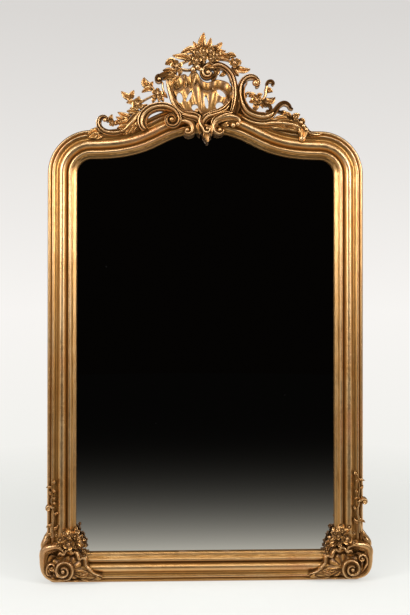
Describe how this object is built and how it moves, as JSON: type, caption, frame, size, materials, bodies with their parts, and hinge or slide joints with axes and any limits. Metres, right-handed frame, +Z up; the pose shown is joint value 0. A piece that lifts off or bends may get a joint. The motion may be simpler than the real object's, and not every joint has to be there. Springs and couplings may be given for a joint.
{
  "type": "overmantel mirror",
  "caption": "Tall arched wall mirror in a gilded rococo frame, with a pierced and carved crest, carved bottom corners, a boarded back and swinging hanging rings.",
  "frame": {"origin": "on the flat underside of the bottom rail, on the centre line, 35 mm in front of the flat back", "axes": "+X to the right as seen from the front, the glass looks along -Y, +Z up along the height"},
  "size_m": [1.1289, 0.117, 1.8737],
  "materials": {
    "gilded_moulding": "gold leaf over red bole, rubbed",
    "gilded_carving": "gold leaf with dark glaze in the recesses",
    "mirror_plate": "old silvered plate, lightly foxed",
    "back_wood": "bare aged pine",
    "hanging_iron": "dark oiled iron"
  },
  "bodies": {
    "frame": {"bottom_rail": "gilded_moulding", "stile_left": "gilded_moulding", "shoulder_left": "gilded_moulding", "arch_left": "gilded_moulding", "stile_right": "gilded_moulding", "shoulder_right": "gilded_moulding", "arch_right": "gilded_moulding", "crest_shell": "gilded_carving", "crest_leaves_top": "gilded_carving", "crest_leaves_left": "gilded_carving", "crest_leaves_right": "gilded_carving", "crest_spray_left": "gilded_carving", "crest_twig_right": "gilded_carving", "crest_spray_right": "gilded_carving", "crest_rim_left": "gilded_carving", "crest_acanthus_left": "gilded_carving", "crest_acanthus_right": "gilded_carving", "crest_scroll_left_outer": "gilded_carving", "shoulder_leaf_left": "gilded_carving", "shoulder_leaf_right": "gilded_carving", "crest_scroll_right_large": "gilded_carving", "crest_scroll_top": "gilded_carving", "crest_volute_left": "gilded_carving", "crest_scroll_left_small": "gilded_carving", "crest_scroll_right_small": "gilded_carving", "crest_console": "gilded_carving", "crest_blossoms": "gilded_carving", "corner_shell_left": "gilded_carving", "corner_leaf_left": "gilded_carving", "side_spray_left": "gilded_carving", "corner_rim_left": "gilded_carving", "corner_flowers_left": "gilded_carving", "corner_volute_left": "gilded_carving", "corner_shell_right": "gilded_carving", "corner_leaf_right": "gilded_carving", "side_spray_right": "gilded_carving", "corner_rim_right": "gilded_carving", "corner_flowers_right": "gilded_carving", "corner_volute_right": "gilded_carving", "mirror_plate": "mirror_plate", "back_board_1": "back_wood", "back_board_2": "back_wood", "back_board_3": "back_wood", "back_board_4": "back_wood", "back_board_5": "back_wood", "glazing_block_foot_left": "back_wood", "glazing_block_foot_right": "back_wood", "glazing_block_side_left": "back_wood", "glazing_block_side_right": "back_wood", "crest_batten": "back_wood", "crest_batten_screw_1": "hanging_iron", "crest_batten_screw_2": "hanging_iron", "hanger_screw_left_1": "hanging_iron", "hanger_screw_left_2": "hanging_iron", "hanger_screw_right_1": "hanging_iron", "hanger_screw_right_2": "hanging_iron", "hanger_plate_left": "hanging_iron", "hanger_plate_right": "hanging_iron"},
    "ring_left": {"hanging_ring_left": "hanging_iron"},
    "ring_right": {"hanging_ring_right": "hanging_iron"}
  },
  "joints": [
    {"name": "ring_left_swing", "type": "hinge", "parent": "frame", "child": "ring_left", "pos_m": [-0.4965, 0.04065, 1.18], "axis": [1, 0, 0], "range_deg": [-4, 175]},
    {"name": "ring_right_swing", "type": "hinge", "parent": "frame", "child": "ring_right", "pos_m": [0.4965, 0.04065, 1.18], "axis": [1, 0, 0], "range_deg": [-4, 175]}
  ]
}
